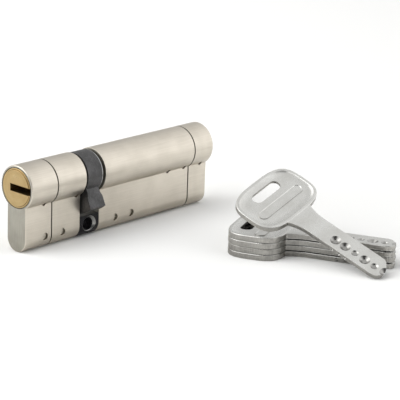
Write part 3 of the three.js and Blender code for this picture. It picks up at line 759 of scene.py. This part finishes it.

# The front one lies deeper and is drawn black, as painted shade, so the joint beside it stays a dark line
clip_thickness = 0.5 * mm
clip_edge = 0.1 * mm
clip_eye = 4.55 * mm
half_opening = math.radians(32)
for side, clip_at, clip_radius, finish in (
    ("front", 4.4 * mm, 7.8 * mm, phosphate_and_painted_shade),
    ("rear", 3.5 * mm, 8 * mm, stamped_spring_steel),
):
    ring = [
        (clip_at, clip_radius - clip_edge),
        (clip_at + clip_edge, clip_radius),
        (clip_at + 0.4 * mm, clip_radius),
        (clip_at + clip_thickness, clip_radius - clip_edge),
    ]
    clip = turned(f"{side}_circlip", "X", ring, sides=128)
    eye = turned("eye", "X", [(clip_at - 1 * mm, clip_eye), (clip_at + 2 * mm, clip_eye)])
    # The opening is a wedge that widens straight down from the axis
    wedge_depth = 12 * mm
    wedge_half = wedge_depth * math.tan(half_opening)
    wedge = block(
        "wedge",
        (clip_at - 1 * mm, -wedge_half, axis_height - wedge_depth),
        (clip_at + 2 * mm, wedge_half, axis_height),
    )
    pick(wedge, "VERT", lambda corner, normal: corner.z > 0.9 * axis_height)
    bpy.ops.transform.resize(value=(1, 0.01, 1), center_override=plug_axis)
    bpy.ops.object.mode_set(mode="OBJECT")
    combine(clip, "DIFFERENCE", eye, wedge)
    if side == "front":
        half_turn(clip)
    finished(clip, finish, "spring_steel", f"{side}_plug", f"{side}_clip")

# ---- Keys ----
# Five flat dimple keys. Each is blanked and coined from nickel-plated brass strip, with a raised rim, an
# empty label field and a slot in its bow, and is milled with five dimples on each side of the blade.

# Tumbled nickel plate: bright, a little cloudy, scuffed every way by the barrel's stones, drawn 0.6 mm
# wide, several times as coarse as the real scuffs, so that they show
tumbled_nickel = metal(
    "tumbled_nickel", ("#d6d6d3", "#c6c5c1"), (0.24, 0.36), (0.6 * mm, 0.6 * mm, 0.6 * mm), 0.006 * mm
)

# Round the outline the strip is sheared and only lightly tumbled, so it is duller and shows more alloy,
# in marks drawn 0.5 mm wide
sheared_edge = metal(
    "sheared_edge", ("#b0aea9", "#969490"), (0.36, 0.5), (0.5 * mm, 0.5 * mm, 2 * mm), 0.01 * mm
)

thickness = 2.2 * mm
bow_length = 22.2 * mm
bow_half_width = 15.5 * mm
bow_fullness = 3.4  # exponent of the rounded square
blade_step = 0.1 * mm  # of the blade's faces, below the bow's rim
key_length = 62.5 * mm


def stadium(name, centre, width, length, low, high):
    """An upright piece with round ends, long across the key."""
    reach = (length - width) / 2
    ends = arc((centre, reach), width / 2, 0, 180, 25) + arc((centre, -reach), width / 2, 180, 360, 25)
    return plate(name, "Z", ends, low, high)


def bow_point(angle):
    """A point of the bow's outline, which is a rounded square."""
    round_point = math.cos(angle), math.sin(angle)
    reach = [math.copysign(abs(part) ** (2 / bow_fullness), part) for part in round_point]
    return bow_length / 2 * (1 + reach[0]), bow_half_width * reach[1]


bow = [bow_point(2 * math.pi * (i + 0.5) / 128) for i in range(128)]
key = plate("key", "Z", bow, -thickness, 0)
pick(key, "FACE", lambda middle, normal: abs(normal.z) > 0.9)
bpy.ops.mesh.region_to_loop()
bpy.ops.mesh.bevel(offset=0.3 * mm, segments=3, affect="EDGES")
for way in (-1, 1):
    pick(
        key,
        "FACE",
        lambda middle, normal: normal.z * way > 0.99 and abs(middle.x - bow_length / 2) < 1 * mm,
    )
    # The rim, the step down from it, and the dish
    bpy.ops.mesh.inset(thickness=0.9 * mm, depth=0)
    bpy.ops.mesh.inset(thickness=0.15 * mm, depth=-0.12 * mm)
    for tread, fall in ((0.9, 0.22), (0.9, 0.15), (0.8, 0.07)):
        bpy.ops.mesh.inset(thickness=tread * mm, depth=-fall * mm)
    bpy.ops.object.mode_set(mode="OBJECT")

# The neck narrows to the blade, and the tip is rounded off towards its lower side. Each row, in mm, is
# a distance from the bow's end and the half widths to the upper and the lower side
blade_rows = [
    (21.6, 6.45, 6.45),
    (22.2, 6.4, 6.4),
    (23, 5.95, 5.95),
    (24, 5.6, 5.6),
    (25, 5.3, 5.3),
    (26, 5.05, 5.05),
    (27, 4.86, 4.86),
    (28.5, 4.67, 4.67),
    (30.1, 4.6, 4.6),
    (58.5, 4.6, 4.6),
    (59.1, 4.4, 4.56),
    (59.8, 3.95, 4.44),
    (60.6, 3.1, 4.2),
    (61.2, 2.35, 3.9),
    (61.7, 1.6, 3.5),
    (62.2, 0.7, 2.9),
    (62.5, -0.2, 2.2),
]
lower_side = [(x * mm, -lower * mm) for x, _, lower in blade_rows]
upper_side = [(x * mm, upper * mm) for x, upper, _ in blade_rows[::-1]]
blade = plate("blade", "Z", lower_side + upper_side, blade_step - thickness, -blade_step)
pick(blade, "FACE", lambda middle, normal: abs(normal.z) > 0.9)
bpy.ops.mesh.region_to_loop()
bpy.ops.mesh.bevel(offset=0.25 * mm, segments=2, affect="EDGES")
bpy.ops.object.mode_set(mode="OBJECT")
combine(key, "UNION", blade)

# The slot for the ring, and the raised label field, left empty, on each face of the bow
combine(key, "DIFFERENCE", stadium("ring_slot", 6.1 * mm, 4.6 * mm, 14 * mm, -3 * mm, 1 * mm))
field_depth = 0.34 * mm  # of its top, under the bow's rim
for way, low, high in ((1, -1 * mm, -field_depth), (-1, field_depth - thickness, 1 * mm - thickness)):
    field = stadium("field", 13.1 * mm, 4.4 * mm, 23.6 * mm, low, high)
    pick(field, "FACE", lambda middle, normal: normal.z * way > 0.9)
    bpy.ops.mesh.inset(thickness=0.5 * mm, depth=0)
    bpy.ops.mesh.inset(thickness=0.15 * mm, depth=-0.16 * mm)
    bpy.ops.object.mode_set(mode="OBJECT")
    combine(key, "UNION", field)

# Dimples on both faces, in one code of deep and shallow cuts, small cuts along one edge, and the notch
# at the tip that leads the pins in
cuts = []
dimple_base = 0.9 * mm  # radius of its flat bottom
dimple_flare = 1.4  # how fast it widens on the way up
dimple_line = 0.9 * mm  # to one side of the blade's middle, and to the other side on the other face
for number, depth in enumerate((0.85, 0.8, 0.35, 0.85, 0.4)):
    x = (40.15 + 4.5 * number) * mm
    mouth = dimple_base + depth * mm * dimple_flare
    for way, line, level in ((1, -dimple_line, 0), (-1, dimple_line, -thickness)):
        steps = [
            (level - way * (depth * mm + blade_step), dimple_base),
            (level - way * blade_step, mouth),
            (level + way * 0.3 * mm, mouth),
        ]
        cuts.append(turned("dimple", "Z", steps, (x, line, 0), 40))
edge_cut_foot = -4.2 * mm  # across the blade, whose edge is at 4.6 mm
for x in (41.5 * mm, 44.6 * mm, 47.4 * mm):
    steps = [(-6 * mm, 1.9 * mm), (edge_cut_foot, 0.4 * mm)]
    cuts.append(turned("edge_cut", "Y", steps, (x, 0, -thickness / 2), 32))
notch_place = (62.8 * mm, -0.4 * mm, 0)
notch_mouth = 3.1 * mm
for way, level in ((1, 0), (-1, -thickness)):
    steps = [(level - way * 1.3 * mm, 0.3 * mm), (level + way * 0.5 * mm, notch_mouth)]
    cuts.append(turned("tip_cut", "Z", steps, notch_place, 40))
combine(key, "DIFFERENCE", *cuts)

# Inside the cuts the plating is milled through: smooth, and greyer than the plating, with the cutter's
# marks drawn 0.4 mm wide
milled_alloy = metal("milled_alloy", ("#a9a8a5", "#92918e"), (0.2, 0.32), [0.4 * mm] * 3, 0.004 * mm)


def in_cut(middle, turn):
    """Whether a place on a key that is turned so is inside one of the blade's cuts."""
    along, across, up = Euler(turn).to_matrix().transposed() @ middle
    under = 0.04 * mm + blade_step
    deep = -under > up > under - thickness
    dimpled = 37 * mm < along < 58.5 * mm and abs(across) < 3.9 * mm
    notched = math.hypot(along - notch_place[0], across - notch_place[1]) < notch_mouth
    at_edge = across < -4.15 * mm and -0.4 * mm > up > 0.4 * mm - thickness
    nicked = 40 * mm < along < 49 * mm and at_edge
    return deep and (dimpled or notched or nicked)


# Four keys lie in a stack on the floor, and the fifth leans on it with its tip down in front
floor_height = -5 * mm
stack_pitch = 2.28 * mm
stack_x, stack_y = 35.7 * mm, -46.9 * mm  # of the bows' ends
stack_heading = -66.9  # degrees
cross_x, cross_y = 44.4 * mm, -92.8 * mm  # where the leaning key crosses the stack's edge
cross_in = 18.6 * mm  # from its tip
cross_drop = 2.76 * mm  # of its middle there, under the stack's top, because it is rolled
lean_clearance = 0.8 * mm
lean_roll = math.radians(21.6)
lean_heading = math.radians(-83.7)
lean_pitch = math.asin((4 * stack_pitch - cross_drop) / cross_in)
lean_reach = (key_length - cross_in) * math.cos(lean_pitch)
lean_top = floor_height + thickness + key_length * math.sin(lean_pitch) + lean_clearance
lean_place = (
    cross_x - lean_reach * math.cos(lean_heading),
    cross_y - lean_reach * math.sin(lean_heading),
    lean_top,
)
lays = []
for level, turn in enumerate((0, 0.5, -0.4, 0)):
    top = floor_height + level * stack_pitch + thickness
    lays.append(((stack_x, stack_y, top), (0, 0, math.radians(turn + stack_heading))))
lays.append((lean_place, (lean_roll, lean_pitch, lean_heading)))
for number, (place, turn) in enumerate(lays, 1):
    piece = copied(key, f"dimple_key_{number}", place, turn)
    upright = Euler(turn).to_matrix() @ ways["Z"]
    finished(piece, tumbled_nickel, "nickel_silver", f"key_{number}", f"key_{number}", smooth=28)
    second_finish(piece, sheared_edge, lambda middle, normal: abs(normal.dot(upright)) < 0.3)
    second_finish(
        piece,
        milled_alloy,
        lambda middle, normal: abs(normal.dot(upright)) > 0.3 and in_cut(middle - Vector(place), turn),
    )
bpy.data.meshes.remove(key.data)

# ---- Floor, light and camera ----
# A plain pale floor, two large soft lamps, and a pale room that is brightest low down to the front right
# and dark in the doorway to the front left.

scene = bpy.context.scene
scene.view_settings.view_transform = "Standard"
scene.view_settings.look = "None"

alone()
bpy.ops.mesh.primitive_plane_add(size=4, location=(0, 0, floor_height - 0.02 * mm))
floor = settled("floor")
# Matt white backdrop paper, which shows no gloss and no grain at this distance
paper = bpy.data.materials.new("matt_white_paper")
paper.use_nodes = True
paper.node_tree.nodes.clear()
matt = put(paper, "BsdfDiffuse", {"Color": rgb("#f7f7f6"), "Roughness": 1})
put(paper, "OutputMaterial", {"Surface": (matt, 0)})
floor.data.materials.append(paper)

world = bpy.data.worlds.new("studio")
world.use_nodes = True
world.node_tree.nodes.clear()
around = put(world, "TexCoord")
brightest_way, darkest_way = (0.5, -0.85, 0.1), (-0.71, -0.64, 0.29)
facing = put(world, "VectorMath", {0: (around, "Generated"), 1: brightest_way}, operation="DOT_PRODUCT")
room = put(world, "MapRange", {"Value": (facing, "Value"), "From Min": -0.3, "From Max": 1})
walls = put(world, "Mix", {0: (room, 0), 6: rgb("#a4a4a3"), 7: rgb("#ffffff")}, data_type="RGBA")
doorway = put(world, "VectorMath", {0: (around, "Generated"), 1: darkest_way}, operation="DOT_PRODUCT")
unlit = put(world, "MapRange", {"Value": (doorway, "Value"), "From Min": 0.35, "From Max": 0.9})
shade = put(world, "Mix", {0: (unlit, 0), 6: (walls, 2), 7: rgb("#2c2c2c")}, data_type="RGBA")
glow = put(world, "Background", {"Color": (shade, 2), "Strength": 1.58})
put(world, "OutputWorld", {"Surface": (glow, 0)})
scene.world = world


def lamp(name, place, aim, size, power):
    """A square soft box at a place, turned towards what it lights."""
    light = bpy.data.lights.new(name, "AREA")
    light.size = size
    light.energy = power
    box = bpy.data.objects.new(name, light)
    box.location = place
    box.rotation_euler = (Vector(aim) - Vector(place)).to_track_quat("-Z", "Y").to_euler()
    scene.collection.objects.link(box)


group_middle = (0.04, -0.05, 0)
lamp_size = 1.4
lamp("back_left", (-0.45, 0.6, 0.75), group_middle, lamp_size, 7.5)
lamp("left", (-0.8, 0.2, 0.6), group_middle, lamp_size, 8)

azimuth, elevation, roll = (math.radians(angle) for angle in (-48.112, 16.991, 2.162))
camera_aim = Vector((0.06777, 0, -0.00519))
camera_distance = 0.7609
back = Vector(
    (math.sin(azimuth) * math.cos(elevation), -math.cos(azimuth) * math.cos(elevation), math.sin(elevation))
)
level_side = Vector((math.cos(azimuth), math.sin(azimuth), 0))
level_up = back.cross(level_side)
camera_side = level_side * math.cos(roll) + level_up * math.sin(roll)
camera_up = level_up * math.cos(roll) - level_side * math.sin(roll)
lens = bpy.data.cameras.new("camera")
lens.lens = 168.55
lens.sensor_width = 36
lens.clip_start = 0.01
camera = bpy.data.objects.new("camera", lens)
facing_way = Matrix((camera_side, camera_up, back)).transposed().to_4x4()
camera.matrix_world = Matrix.Translation(camera_aim + back * camera_distance) @ facing_way
scene.collection.objects.link(camera)
scene.camera = camera
